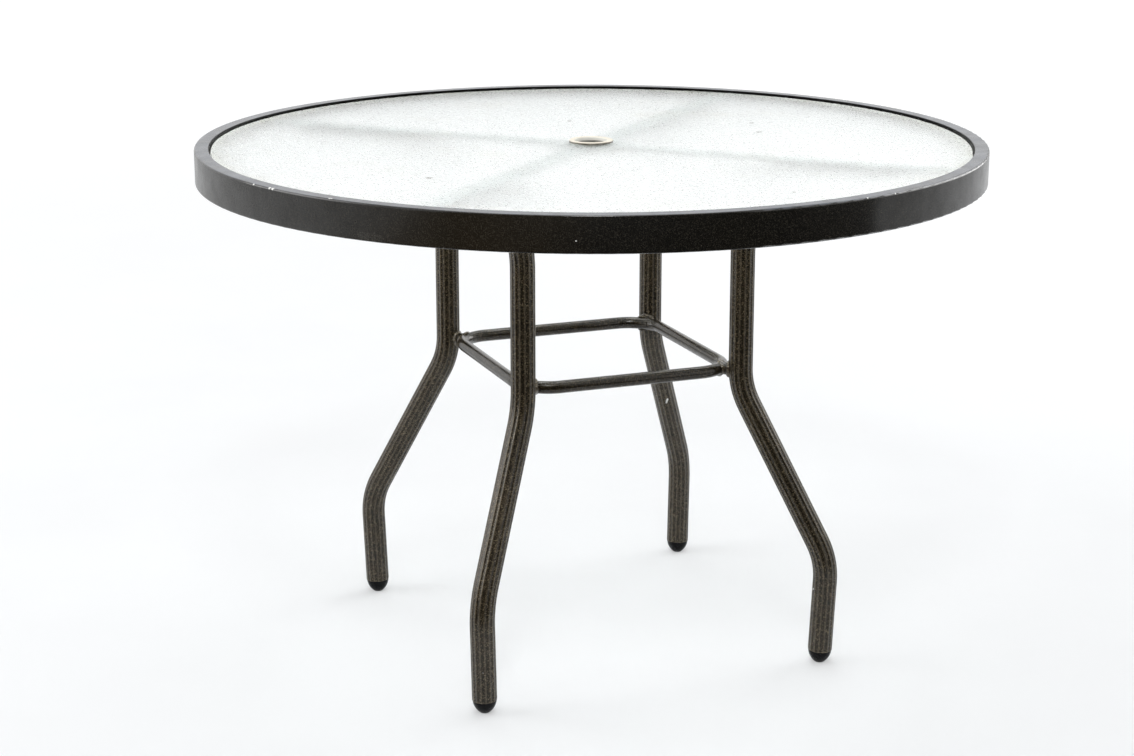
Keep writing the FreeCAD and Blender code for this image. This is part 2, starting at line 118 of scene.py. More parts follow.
def addBump(tree, shader, height, distance):
    node = addNode(tree, "ShaderNodeBump", {"Height": height, "Distance": distance})
    tree.links.new(node.outputs[0], shader.inputs["Normal"])


def dress(material, *names):
    for name in names:
        nodes[name].material_slots[0].material = material


# powder coat: small flakes, slow clouding with fine grain, and orange peel
grainLook = {
    "flakePick": (0.6, 0.86), "flakeEdge": (0.4, 0.75),
    "patchNoise": (300.0, 2.0), "patchSpan": (0.3, 0.56),
    "cloudNoise": (13.0, 4.0), "cloudSpan": (0.34, 0.66), "cloudShare": 0.45,
    "fineNoise": (650.0, 2.0), "fineSpan": (0.36, 0.64), "fineShare": 0.55,
    "peelDetail": 2.0, "peelRough": 0.5,
}


def makeCoatGrain(look):
    group, source, result = newGroup("coatGrain", ["Vector"], {"Flake Scale": 900.0, "Peel Scale": 380.0},
                                     ["Flake", "Cloud", "Peel"])
    cells = addNode(group, "ShaderNodeTexVoronoi",
                    {"Vector": source["Vector"], "Scale": source["Flake Scale"]})
    pick = addNode(group, "ShaderNodeSeparateColor", {0: cells.outputs["Color"]}).outputs[0]
    middle = remap(group, cells.outputs["Distance"], look["flakeEdge"], (1.0, 0.0))
    patch = remap(group, noise(group, source["Vector"], *look["patchNoise"]), look["patchSpan"])
    flake = calc(group, "MULTIPLY", remap(group, pick, look["flakePick"]), patch)
    group.links.new(calc(group, "MULTIPLY", flake, middle), result["Flake"])
    cloud = remap(group, noise(group, source["Vector"], *look["cloudNoise"]), look["cloudSpan"],
                  (0.0, look["cloudShare"]))
    fine = remap(group, noise(group, source["Vector"], *look["fineNoise"]), look["fineSpan"],
                 (0.0, look["fineShare"]))
    group.links.new(calc(group, "ADD", cloud, fine), result["Cloud"])
    peel = noise(group, source["Vector"], source["Peel Scale"], look["peelDetail"], look["peelRough"])
    group.links.new(peel, result["Peel"])
    return group


# scattered small chips that show bare metal, sparse by default
chipLook = {"ragNoise": (600.0, 3.0), "ragSize": (0.35, 1.3)}


def makeChipScatter(look):
    group, source, result = newGroup("chipScatter", ["Vector"], {"Scale": 55.0, "Share": 0.03, "Size": 0.12},
                                     ["Chip"])
    cells = addNode(group, "ShaderNodeTexVoronoi", {"Vector": source["Vector"], "Scale": source["Scale"]})
    pick = addNode(group, "ShaderNodeSeparateColor", {0: cells.outputs["Color"]}).outputs[1]
    chosen = calc(group, "LESS_THAN", pick, source["Share"])
    ragged = remap(group, noise(group, source["Vector"], *look["ragNoise"]), noiseSpan, look["ragSize"])
    edge = calc(group, "MULTIPLY", source["Size"], ragged)
    near = calc(group, "LESS_THAN", cells.outputs["Distance"], edge)
    group.links.new(calc(group, "MULTIPLY", chosen, near), result["Chip"])
    return group


# one ragged knock at a given place
knockLook = {"ragNoise": (500.0, 3.0), "ragSize": (0.4, 1.5)}


def makeKnock(look):
    group, source, result = newGroup("knock", ["Vector", "Centre"], {"Radius": 0.004}, ["Knock"])
    away = addNode(group, "ShaderNodeVectorMath", {0: source["Vector"], 1: source["Centre"]},
                   operation="DISTANCE").outputs["Value"]
    ragged = remap(group, noise(group, source["Vector"], *look["ragNoise"]), noiseSpan, look["ragSize"])
    edge = calc(group, "MULTIPLY", source["Radius"], ragged)
    group.links.new(calc(group, "LESS_THAN", away, edge), result["Knock"])
    return group


# grey dust that settles where a surface faces up
dustLook = {"mottleNoise": (45.0, 5.0), "mottleShare": (0.3, 1.0)}


def makeDustFilm(look):
    group, source, result = newGroup("dustFilm", ["Vector"], {"Amount": 0.5, "Facing": 0.75}, ["Dust"])
    up = remap(group, addFacing(group), (source["Facing"], 1.0))
    mottled = noise(group, source["Vector"], *look["mottleNoise"])
    mottled = remap(group, mottled, noiseSpan, look["mottleShare"])
    settled = calc(group, "MULTIPLY", calc(group, "MULTIPLY", up, mottled), source["Amount"])
    group.links.new(settled, result["Dust"])
    return group


# ridges and corners, where the coat is thin and rubbed, and where a light edge colour paints a highlight
edgeLook = {
    "samples": 8, "turnSpan": (0.998, 0.986), "unevenNoise": (120.0, 4.0), "unevenShare": (0.55, 1.0),
}


def makeEdgeWearAndHighlight(look):
    group, source, result = newGroup("edgeWearAndHighlight", ["Vector"], {"Reach": 0.0008, "Share": 0.5}, ["Edge"])
    flat = addNode(group, "ShaderNodeNewGeometry").outputs["Normal"]
    rounded = addNode(group, "ShaderNodeBevel", {"Radius": source["Reach"]}, samples=look["samples"])
    turn = addNode(group, "ShaderNodeVectorMath", {0: flat, 1: rounded.outputs[0]}, operation="DOT_PRODUCT")
    ridge = remap(group, turn.outputs["Value"], look["turnSpan"])
    uneven = noise(group, source["Vector"], *look["unevenNoise"])
    uneven = remap(group, uneven, noiseSpan, look["unevenShare"])
    rubbedAndHighlit = calc(group, "MULTIPLY", calc(group, "MULTIPLY", ridge, uneven), source["Share"])
    group.links.new(rubbedAndHighlit, result["Edge"])
    return group


coatGrain = makeCoatGrain(grainLook)
edgeWearAndHighlight = makeEdgeWearAndHighlight(edgeLook)
chipScatter = makeChipScatter(chipLook)
knock = makeKnock(knockLook)
dustFilm = makeDustFilm(dustLook)
print("stage: shared node groups are built")


def addKnocks(tree, place, knocks):  # all the listed knocks in one mask
    mask = None
    for centre, radius in knocks:
        one = useGroup(tree, knock, {"Vector": place, "Centre": centre, "Radius": radius})["Knock"]
        mask = one if mask is None else calc(tree, "MAXIMUM", mask, one)
    return mask


def makeCoat(name, look):
    material, tree, shader, place = newMaterial(name, look["specular"], Metallic=look["metal"])
    grain = useGroup(tree, coatGrain, {"Vector": place, "Flake Scale": look["flakeScale"],
                                       "Peel Scale": look["peelScale"]})
    colour = blendColour(tree, grain["Cloud"], look["dark"], look["light"])
    flakes = calc(tree, "MULTIPLY", grain["Flake"], look["flakeShare"])
    colour = blendColour(tree, flakes, colour, look["flake"])
    # the edge colour is rubbed coat and a painted highlight along ridges
    edge = useGroup(tree, edgeWearAndHighlight, {"Vector": place, "Reach": look["edgeReach"],
                                     "Share": look["edgeShare"]})["Edge"]
    colour = blendColour(tree, edge, colour, look["edgeWearAndHighlightColour"])
    dust = useGroup(tree, dustFilm, {"Vector": place, "Amount": look["dust"]})["Dust"]
    colour = blendColour(tree, dust, colour, look["dustColour"])
    chips = useGroup(tree, chipScatter, {"Vector": place, "Share": look["chipShare"],
                                         "Scale": look["chipScale"], "Size": look["chipSize"]})["Chip"]
    if look["knocks"]:
        chips = calc(tree, "MAXIMUM", chips, addKnocks(tree, place, look["knocks"]))
    if look["scuffs"]:
        scratched = remap(tree, noise(tree, place, *look["scuffNoise"]), look["scuffSpan"],
                          (0.0, look["scuffShare"]))
        scratched = calc(tree, "MULTIPLY", scratched, addKnocks(tree, place, look["scuffs"]))
        colour = blendColour(tree, scratched, colour, look["scuffColour"])
    colour = blendColour(tree, chips, colour, look["bare"])
    sheen = remap(tree, addFacing(tree), (look["glossFacing"], 1.0), (look["gloss"], look["topGloss"]))
    hazy = remap(tree, noise(tree, place, *look["hazeNoise"]), look["hazeSpan"], look["hazeShare"])
    sheen = calc(tree, "MULTIPLY", sheen, hazy)
    if look["wallReach"]:  # nearer the axis than this, the rim's inner wall and lip get a painted shade, almost black, and lose their coat
        wall = remap(tree, addReach(tree, place), look["wallReach"], (1.0, 0.0))
        colour = blendColour(tree, wall, colour, look["wallShadeColour"])
        sheen = calc(tree, "SUBTRACT", sheen, wall)
    height = calc(tree, "ADD", grain["Peel"], calc(tree, "MULTIPLY", grain["Flake"], look["flakeRise"]))
    addBump(tree, shader, calc(tree, "SUBTRACT", height, chips), look["peelDepth"])
    feed(tree, shader, {"Base Color": colour, "Coat Weight": sheen,
                        "Roughness": remap(tree, grain["Peel"], noiseSpan, look["rough"])})
    shader.inputs["Coat Roughness"].default_value = look["topRough"]
    return material


coatLook = {  # what all the coats share
    "specular": 0.05, "flakeRise": 0.5, "chipSize": 0.05,
    "hazeNoise": (38.0, 5.0), "hazeSpan": (0.35, 0.65), "hazeShare": (0.8, 1.0),
    "knocks": None, "scuffs": None, "wallReach": None,
}
rimLook = {
    **coatLook, "dark": (0.0036, 0.0031, 0.0021, 1), "light": (0.0085, 0.0072, 0.0048, 1), "metal": 0.0,
    "flake": (0.052, 0.046, 0.035, 1), "flakeShare": 0.8, "flakeScale": 1050.0,
    "peelScale": 420.0, "peelDepth": 0.0001, "rough": (0.36, 0.5),
    "dust": 0.42, "dustColour": (0.15, 0.18, 0.24, 1),
    "gloss": 1.0, "topGloss": 0.85, "glossFacing": 0.8, "topRough": 0.15,
    "edgeReach": 0.0008, "edgeWearAndHighlightColour": (0.09, 0.085, 0.075, 1), "edgeShare": 0.3,
    "chipShare": 0.006, "chipScale": 60.0, "bare": (0.75, 0.75, 0.73, 1),
    # painted shade on the rim's inner wall and lip, under the pane
    "wallReach": (0.5141, 0.5149), "wallShadeColour": (0.0015, 0.0014, 0.0011, 1),
    "knocks": [  # one on the band, the others along the ledge
        ((-0.2123, -0.4894, 0.6723), 0.0011),
        ((-0.5073, -0.1631, 0.7016), 0.0014),
        ((-0.4924, -0.2010, 0.7016), 0.0021),
        ((-0.4945, -0.1950, 0.7016), 0.0021),
        ((-0.4455, -0.2879, 0.7016), 0.0019),
        ((-0.4437, -0.2910, 0.7016), 0.0015),
        ((0.1494, -0.5113, 0.7016), 0.0015),
        ((0.1951, -0.4960, 0.7016), 0.0013),
    ],
    "scuffs": [  # a rubbed patch on the band, then three places on the ledge
        ((-0.4205, -0.3283, 0.6635), 0.0045),
        ((-0.4150, -0.3353, 0.6628), 0.0055),
        ((-0.4090, -0.3426, 0.6630), 0.0055),
        ((-0.4035, -0.3490, 0.6622), 0.0045),
        ((-0.4756, -0.2266, 0.7016), 0.007),
        ((-0.4683, -0.2364, 0.7016), 0.005),
        ((-0.5150, -0.1031, 0.7016), 0.006),
    ],
    "scuffColour": (0.13, 0.125, 0.112, 1), "scuffNoise": (1100.0, 3.0, 0.7), "scuffSpan": (0.5, 0.62),
    "scuffShare": 0.5,
}
# the bars' tops are pale grey-green: partly dust, partly painted light that lightens how they show through
# the pane
barLook = {
    **rimLook, "dust": 0.9, "dustColour": (0.5, 0.57, 0.56, 1), "gloss": 0.3, "topGloss": 0.3,
    "wallReach": None, "knocks": None, "scuffs": None,
}
legLook = {
    **coatLook, "dark": (0.0075, 0.0057, 0.0032, 1), "light": (0.027, 0.0207, 0.0116, 1), "metal": 0.4,
    "flake": (0.22, 0.175, 0.11, 1), "flakeShare": 0.85, "flakeScale": 920.0,
    "peelScale": 480.0, "peelDepth": 0.0001, "rough": (0.3, 0.42),
    "dust": 0.12, "dustColour": (0.2, 0.19, 0.17, 1),
    "gloss": 0.72, "topGloss": 0.72, "glossFacing": 0.6, "topRough": 0.2,
    # the legs' flute ridges get a light edge colour: partly rubbed coat, partly a painted highlight
    "edgeReach": 0.0009, "edgeWearAndHighlightColour": (0.22, 0.18, 0.12, 1), "edgeShare": 0.95,
    "chipShare": 0.004, "chipScale": 60.0, "bare": (0.72, 0.71, 0.68, 1),
    "knocks": [  # three on the rear right leg, one on each front leg
        ((0.1976, 0.1844, 0.2639), 0.0021),
        ((0.1982, 0.1838, 0.2669), 0.0019),
        ((0.1972, 0.1850, 0.2606), 0.0017),
        ((-0.2517, -0.2617, 0.0610), 0.0014),
        ((0.2303, -0.2453, 0.1072), 0.0014),
    ],
}
braceLook = {
    **coatLook, "dark": (0.0072, 0.0054, 0.003, 1), "light": (0.026, 0.0198, 0.0112, 1), "metal": 0.4,
    "flake": (0.13, 0.104, 0.066, 1), "flakeShare": 0.6, "flakeScale": 900.0,
    "peelScale": 360.0, "peelDepth": 0.00005, "rough": (0.26, 0.36),
    "dust": 0.1, "dustColour": (0.2, 0.19, 0.18, 1),
    "gloss": 0.85, "topGloss": 0.85, "glossFacing": 0.3, "topRough": 0.1,
    "edgeReach": 0.0005, "edgeWearAndHighlightColour": (0.1, 0.09, 0.075, 1), "edgeShare": 0.3,
    "chipShare": 0.004, "chipScale": 70.0, "bare": (0.72, 0.71, 0.68, 1),
    "knocks": [((-0.1457, -0.0428, 0.4091), 0.0018)],  # on top of the left side
}
weldLook = {
    **braceLook, "dark": (0.035, 0.028, 0.018, 1), "light": (0.09, 0.072, 0.047, 1),
    "flake": (0.3, 0.25, 0.18, 1), "gloss": 0.95, "topGloss": 0.95, "topRough": 0.08,
    "chipShare": 0.08, "chipScale": 300.0, "chipSize": 0.12, "knocks": None,
}
barCoat = makeCoat("barCoat", barLook)
weldCoat = makeCoat("weldCoat", weldLook)
dress(makeCoat("rimCoat", rimLook), "rim_ring")
dress(barCoat, "hub_ring", *[f"{corner}_crossbar" for corner in cornerTurns])
dress(makeCoat("legCoat", legLook), *[f"{corner}_leg" for corner in cornerTurns])
dress(makeCoat("braceCoat", braceLook), "brace_ring", *[f"{corner}_stub" for corner in cornerTurns])
print("stage: coated metal is dressed")

glassLook = {
    "tint": (0.913, 0.935, 0.93, 1), "ior": 1.46, "shadowPass": 0.75,
    "wobbleScale": 90.0, "wobbleDetail": 2.0, "wobbleShare": 0.012,
    "pebbleScale": 250.0, "pebbleSoftness": 0.6, "swellSpan": (0.0, 0.7), "swellShare": 0.8,
    "fineNoise": (420.0, 3.0), "fineShare": 0.2, "pebbleDepth": 0.0005,
    "flatShare": (0.28, 0.42), "rough": (0.14, 0.5),
    # the grime colour also paints the shade near the rim
    "grimeAndShade": (0.74, 0.71, 0.61, 1), "borderReach": (0.46, 0.512), "borderShare": 0.32,
    "borderNoise": (26.0, 5.0), "borderSpan": (0.36, 0.62),
    "streakNoise": (9.0, 6.0, 0.65), "streakSpan": (0.55, 0.78), "streakShare": 0.35,
    "speckColour": (0.06, 0.05, 0.04, 1),
    "specks": [
        ((-0.2896, -0.1834, 0.6984), 0.0042),
        ((0.0377, 0.1811, 0.6984), 0.0032),
        ((0.2735, 0.0707, 0.6984), 0.0036),
        ((0.2493, -0.0062, 0.6984), 0.004),
        ((0.0922, -0.4314, 0.6984), 0.0026),
    ],
}


def makePebbledGlass(look):
    material, tree, shader, place = newMaterial("pebbledGlass", IOR=look["ior"], Transmission_Weight=1.0)
    wobble = addNode(tree, "ShaderNodeTexNoise", {"Vector": place, "Scale": look["wobbleScale"],
                                                  "Detail": look["wobbleDetail"]}).outputs["Color"]
    warped = blendColour(tree, look["wobbleShare"], place, wobble, "ADD")
    pebbles = addNode(tree, "ShaderNodeTexVoronoi",
                      {"Vector": warped, "Scale": look["pebbleScale"], "Smoothness": look["pebbleSoftness"]},
                      feature="SMOOTH_F1").outputs["Distance"]
    swell = calc(tree, "MULTIPLY", remap(tree, pebbles, look["swellSpan"], (1.0, 0.0)), look["swellShare"])
    fine = calc(tree, "MULTIPLY", noise(tree, place, *look["fineNoise"]), look["fineShare"])
    addBump(tree, shader, calc(tree, "ADD", swell, fine), look["pebbleDepth"])
    # darker near the rim: partly grime, partly painted shade from the rim's inner wall
    patchy = remap(tree, noise(tree, place, *look["borderNoise"]), look["borderSpan"])
    border = remap(tree, addReach(tree, place), look["borderReach"], (0.0, look["borderShare"]))
    border = calc(tree, "MULTIPLY", border, patchy)
    streaks = noise(tree, place, *look["streakNoise"])
    streaks = remap(tree, streaks, look["streakSpan"], (0.0, look["streakShare"]))
    colour = blendColour(tree, calc(tree, "MAXIMUM", border, streaks), look["tint"], look["grimeAndShade"])
    colour = blendColour(tree, addKnocks(tree, place, look["specks"]), colour, look["speckColour"])
    # flat tops let a soft image through, and the slopes between them scatter it
    rough = remap(tree, pebbles, look["flatShare"], look["rough"])
    feed(tree, shader, {"Base Color": colour, "Roughness": rough})
    # lets light through to the legs and floor in place of slow caustics
    clear = addNode(tree, "ShaderNodeBsdfTransparent", {"Color": look["tint"]}).outputs[0]
    shadowRay = addNode(tree, "ShaderNodeLightPath").outputs["Is Shadow Ray"]
    share = calc(tree, "MULTIPLY", shadowRay, look["shadowPass"])
    mixed = addNode(tree, "ShaderNodeMixShader", {0: share, 1: shader.outputs[0], 2: clear}).outputs[0]
    tree.links.new(mixed, tree.nodes["Material Output"].inputs["Surface"])
    return material


dress(makePebbledGlass(glassLook), "glass_pane")
print("stage: the pane is dressed")

glideLook = {
    "specular": 0.14, "base": (0.002, 0.002, 0.003, 1), "fineNoise": (260.0, 4.0), "rough": (0.16, 0.34),
    "bump": 0.00025, "treadHeight": 0.006, "worn": (0.03, 0.028, 0.025, 1),
    "scuffNoise": (420.0, 4.0, 0.7), "scuffSpan": (0.48, 0.6), "scuffRough": 0.4,
}


def makeGlidePlastic(look):  # gloss plastic that is scuffed near the floor
    material, tree, shader, place = newMaterial("glidePlastic", look["specular"])
    fine = noise(tree, place, *look["fineNoise"])
    tread = remap(tree, addPart(tree, place, "Z"), (0.0, look["treadHeight"]), (1.0, 0.0))
    scuffs = remap(tree, noise(tree, place, *look["scuffNoise"]), look["scuffSpan"])
    scuffs = calc(tree, "MULTIPLY", tread, scuffs)
    rough = calc(tree, "ADD", remap(tree, fine, noiseSpan, look["rough"]),
                 calc(tree, "MULTIPLY", scuffs, look["scuffRough"]))
    addBump(tree, shader, calc(tree, "SUBTRACT", fine, scuffs), look["bump"])
    colour = blendColour(tree, scuffs, look["base"], look["worn"])
    feed(tree, shader, {"Base Color": colour, "Roughness": rough})
    return material


grommetLook = {
    "specular": 0.45, "base": (0.76, 0.715, 0.61, 1), "aged": (0.66, 0.59, 0.465, 1),
    "agedNoise": (70.0, 5.0), "agedSpan": (0.4, 0.72), "fineNoise": (500.0, 3.0), "rough": (0.28, 0.46),
    # bore: painted light on the bore's wall
    "bump": 0.0002, "bore": (0.93, 0.91, 0.84, 1), "boreReach": (0.0222, 0.0226),
    "footAndDeepDark": (0.035, 0.027, 0.017, 1), "darkShare": (0.75, 1.0),
    "footHeight": (0.7006, 0.7012), "footReach": (0.0283, 0.029), "deepHeight": (0.6967, 0.6974),
}


def makeGrommetPlastic(look):  # the bore's wall is painted lighter, deep in the bore is painted shade, and the flange's foot is darker brown
    material, tree, shader, place = newMaterial("grommetPlastic", look["specular"])
    aged = remap(tree, noise(tree, place, *look["agedNoise"]), look["agedSpan"])
    colour = blendColour(tree, aged, look["base"], look["aged"])
    height = addPart(tree, place, "Z")
    reach = addReach(tree, place)
    # painted light on the bore's wall
    colour = blendColour(tree, remap(tree, reach, look["boreReach"], (1.0, 0.0)), colour, look["bore"])
    foot = calc(tree, "MULTIPLY", remap(tree, height, look["footHeight"], (1.0, 0.0)),
                remap(tree, reach, look["footReach"]))
    # painted shade deep in the bore
    deepShade = remap(tree, height, look["deepHeight"], (1.0, 0.0))
    darkened = calc(tree, "MULTIPLY", calc(tree, "MAXIMUM", foot, deepShade),
                  remap(tree, aged, (0.0, 1.0), look["darkShare"]))
    fine = noise(tree, place, *look["fineNoise"])
    addBump(tree, shader, fine, look["bump"])
    feed(tree, shader, {"Base Color": blendColour(tree, darkened, colour, look["footAndDeepDark"]),
                        "Roughness": remap(tree, fine, noiseSpan, look["rough"])})
    return material


vinylLook = {
    "specular": 0.4, "base": (0.6, 0.62, 0.58, 1), "aged": (0.42, 0.4, 0.33, 1),
    "agedNoise": (60.0, 5.0), "agedSpan": (0.35, 0.7), "fineNoise": (700.0, 3.0), "rough": (0.4, 0.6),
    "bump": 0.00015,
}


def makeVinyl(look):
    material, tree, shader, place = newMaterial("clearVinyl", look["specular"])
    aged = remap(tree, noise(tree, place, *look["agedNoise"]), look["agedSpan"])
    fine = noise(tree, place, *look["fineNoise"])
    addBump(tree, shader, fine, look["bump"])
    feed(tree, shader, {"Base Color": blendColour(tree, aged, look["base"], look["aged"]),
                        "Roughness": remap(tree, fine, noiseSpan, look["rough"])})
    return material


zincLook = {
    "specular": 0.5, "dull": (0.5, 0.51, 0.52, 1), "bright": (0.66, 0.66, 0.64, 1),
    "spangleNoise": (240.0, 2.0), "spangleSpan": (0.35, 0.65),
    "fineNoise": (900.0, 3.0), "rough": (0.26, 0.5), "bump": 0.00012,
    "rust": (0.2, 0.085, 0.035, 1), "rustNoise": (120.0, 5.0, 0.7), "rustSpan": (0.58, 0.68),
}


def makeZinc(look):  # bright plating with rust spots
    material, tree, shader, place = newMaterial("zincPlate", look["specular"])
    fine = noise(tree, place, *look["fineNoise"])
    spangle = remap(tree, noise(tree, place, *look["spangleNoise"]), look["spangleSpan"])
    rust = remap(tree, noise(tree, place, *look["rustNoise"]), look["rustSpan"])
    colour = blendColour(tree, spangle, look["dull"], look["bright"])
    addBump(tree, shader, calc(tree, "ADD", fine, rust), look["bump"])
    feed(tree, shader, {"Base Color": blendColour(tree, rust, colour, look["rust"]),
                        "Roughness": remap(tree, fine, noiseSpan, look["rough"]),
                        "Metallic": calc(tree, "SUBTRACT", 1.0, rust)})
    return material


dress(makeGlidePlastic(glideLook),
      *[f"{corner}_{part}" for corner in cornerTurns for part in ("glide", "plug")])
dress(makeGrommetPlastic(grommetLook), "umbrella_grommet")
dress(makeVinyl(vinylLook), "glazing_strip", "pane_bumpers")
dress(makeZinc(zincLook), "leg_bolts", "saddle_washers")
print("stage: plastics and fasteners are dressed")


# helpers for modelling
def deselectAll():
    bpy.ops.object.select_all(action="DESELECT")


def editVerts(piece, test):  # edit mode with only the vertices that pass the test selected
    bpy.context.view_layer.objects.active = piece
    piece.select_set(True)
    bpy.ops.object.mode_set(mode="EDIT")
    bpy.ops.mesh.select_mode(type="VERT")
    bpy.ops.mesh.select_all(action="DESELECT")
    bpy.ops.object.mode_set(mode="OBJECT")
    for vertex in piece.data.vertices:
        vertex.select = test(vertex.co, vertex.index)
    bpy.ops.object.mode_set(mode="EDIT")


def endEdit():
    bpy.ops.object.mode_set(mode="OBJECT")


def swellVerts(piece, amount, test):
    editVerts(piece, test)
    bpy.ops.transform.shrink_fatten(value=amount)
    endEdit()


def applyPlace():
    bpy.ops.object.transform_apply(location=True, rotation=True, scale=True)


def finishBead(piece, levels, coat):
    modifier = piece.modifiers.new("smooth", "SUBSURF")
    modifier.levels = levels
    modifier.render_levels = levels
    bpy.ops.object.modifier_apply(modifier="smooth")
    bpy.ops.object.shade_smooth()
    piece.data.materials.clear()
    piece.data.materials.append(coat)


def copyToCorners(piece, name):  # each copy has its own mesh, turned in place
    for corner, turn in cornerTurns.items():
        copy = piece.copy()
        copy.data = piece.data.copy()
        copy.name = f"{corner}_{name}"
        bpy.context.scene.collection.objects.link(copy)
        deselectAll()
        copy.select_set(True)
        bpy.context.view_layer.objects.active = copy
        copy.rotation_euler = (0, 0, math.radians(turn))
        applyPlace()
        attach(copy, "frame")
    bpy.data.objects.remove(piece)


beadLook = {  # in metres, but bandReach is in tube radii
    "height": 0.4015, "tubeRadius": 0.0085, "legReach": 0.2216, "legRadius": 0.0165, "ringReach": 0.1915,
    "radius": 0.0027, "clearance": 0.0004, "sides": 8, "waves": 16, "proud": 0.0009,
    "lumpEvery": 7, "lumpLength": 2, "lumpProud": 0.00072, "bands": 8, "bandReach": 1.35, "levels": 1,
}


def makeStubBead(name, look, atLeg):
    deselectAll()
    start = look["legReach"] - look["legRadius"] if atLeg else look["ringReach"]
    bpy.ops.mesh.primitive_torus_add(
        major_segments=look["waves"] * 2, minor_segments=look["sides"],
        major_radius=look["tubeRadius"] + look["clearance"], minor_radius=look["radius"],
        location=(start, 0, look["height"]), rotation=(0, math.pi / 2, 0))
    piece = bpy.context.object
    piece.name = name
    applyPlace()
    # every second ring of the bead swells into a ripple, and some stretches into lumps
    swellVerts(piece, look["proud"], lambda co, index: index // look["sides"] % 2 == 0)
    swellVerts(piece, look["lumpProud"],
               lambda co, index: index // look["sides"] % look["lumpEvery"] < look["lumpLength"])
    # bands of the bead slide along the stub to follow the joint
    bandWidth = look["tubeRadius"] * look["bandReach"] / look["bands"]
    for band in range(look["bands"]):
        low = bandWidth * band
        high = bandWidth * (band + 1)
        middle = min((low + high) / 2, look["tubeRadius"])
        if atLeg:
            slide = look["legRadius"] - math.sqrt(look["legRadius"] ** 2 - middle ** 2)
            editVerts(piece, lambda co, index: low <= abs(co.y) < high)
        else:
            slide = math.sqrt(look["tubeRadius"] ** 2 - middle ** 2)
            editVerts(piece, lambda co, index: low <= abs(co.z - look["height"]) < high)
        bpy.ops.transform.translate(value=(slide, 0, 0))
        endEdit()
    finishBead(piece, look["levels"], weldCoat)
    copyToCorners(piece, name)


makeStubBead("leg_weld", beadLook, True)
makeStubBead("ring_weld", beadLook, False)

barWeldLook = {
    "underside": 0.6826, "hub": {"reach": 0.0503, "sweep": 36.0}, "rim": {"reach": 0.5132, "sweep": 3.3},
    "radius": 0.0018, "sides": 8, "proud": 0.0005, "steps": 16, "merge": 0.00001, "levels": 1,
}


def makeBarWeld(name, look, arc):
    deselectAll()
    bpy.ops.mesh.primitive_circle_add(
        vertices=look["sides"], radius=look["radius"], fill_type="NGON",
        location=(arc["reach"], 0, look["underside"]), rotation=(math.pi / 2, 0, 0))
    piece = bpy.context.object
    piece.name = name
    applyPlace()
    sweep = math.radians(arc["sweep"])
    piece.rotation_euler = (0, 0, -sweep / 2)
    applyPlace()
    editVerts(piece, lambda co, index: True)
    bpy.ops.mesh.spin(steps=look["steps"], angle=sweep, center=(0, 0, look["underside"]), axis=(0, 0, 1))
    bpy.ops.mesh.select_all(action="SELECT")
    bpy.ops.mesh.remove_doubles(threshold=look["merge"])
    bpy.ops.mesh.normals_make_consistent(inside=False)
    endEdit()
    turnStep = sweep / look["steps"]
    # every second ring swells into a ripple
    swellVerts(piece, look["proud"],
               lambda co, index: round((math.atan2(co.y, co.x) + sweep / 2) / turnStep) % 2 == 1)
    finishBead(piece, look["levels"], barCoat)
    copyToCorners(piece, name)


makeBarWeld("hub_weld", barWeldLook, barWeldLook["hub"])
makeBarWeld("rim_weld", barWeldLook, barWeldLook["rim"])
print("stage: weld beads are modelled")

floorLook = {
    "size": 60.0, "colour": (0.5, 0.51, 0.52, 1), "specular": 0.2, "rough": 0.85,
    "mottleNoise": (3.0, 5.0), "mottleShare": (0.97, 1.0), "mirrorShare": 0.45,
    "glowReach": (1.0, 6.0), "glow": (0.34, 0.8), "throughReach": (1.0, 9.0), "throughGlow": (0.62, 0.86),
}


def makeFloor(look):
    deselectAll()
    bpy.ops.mesh.primitive_plane_add(size=look["size"], location=(0, 0, 0))
    floor = bpy.context.object
    floor.name = "studio_floor"
    material, tree, shader, place = newMaterial("paleFloor", look["specular"], Roughness=look["rough"])
    mottled = remap(tree, noise(tree, place, *look["mottleNoise"]), noiseSpan, look["mottleShare"])
    feed(tree, shader, {"Base Color": blendColour(tree, 1.0, look["colour"], mottled, "MULTIPLY")})
    # the floor glows a little, more so through glass, and more with distance
    rays = addNode(tree, "ShaderNodeLightPath").outputs
    reach = addReach(tree, place)
    direct = remap(tree, reach, look["glowReach"], look["glow"])
    direct = calc(tree, "MULTIPLY", rays["Is Camera Ray"], direct)
    mirrored = calc(tree, "MULTIPLY", rays["Is Glossy Ray"], look["mirrorShare"])
    indirect = calc(tree, "MAXIMUM", rays["Is Transmission Ray"], mirrored)
    indirect = calc(tree, "MULTIPLY", indirect, remap(tree, reach, look["throughReach"], look["throughGlow"]))
    level = calc(tree, "MAXIMUM", direct, indirect)
    glow = addNode(tree, "ShaderNodeEmission", {"Strength": level}).outputs[0]
    total = addNode(tree, "ShaderNodeAddShader", {0: shader.outputs[0], 1: glow}).outputs[0]
    # a camera under the floor looks through it at the table's underside
    below = addNode(tree, "ShaderNodeNewGeometry").outputs["Backfacing"]
    below = calc(tree, "MULTIPLY", below, rays["Is Camera Ray"])
    clear = addNode(tree, "ShaderNodeBsdfTransparent").outputs[0]
    total = addNode(tree, "ShaderNodeMixShader", {0: below, 1: total, 2: clear}).outputs[0]
    tree.links.new(total, tree.nodes["Material Output"].inputs["Surface"])
    floor.data.materials.append(material)


skyLook = {"colour": (1, 1, 1, 1), "seen": 1.0, "lighting": 0.5}


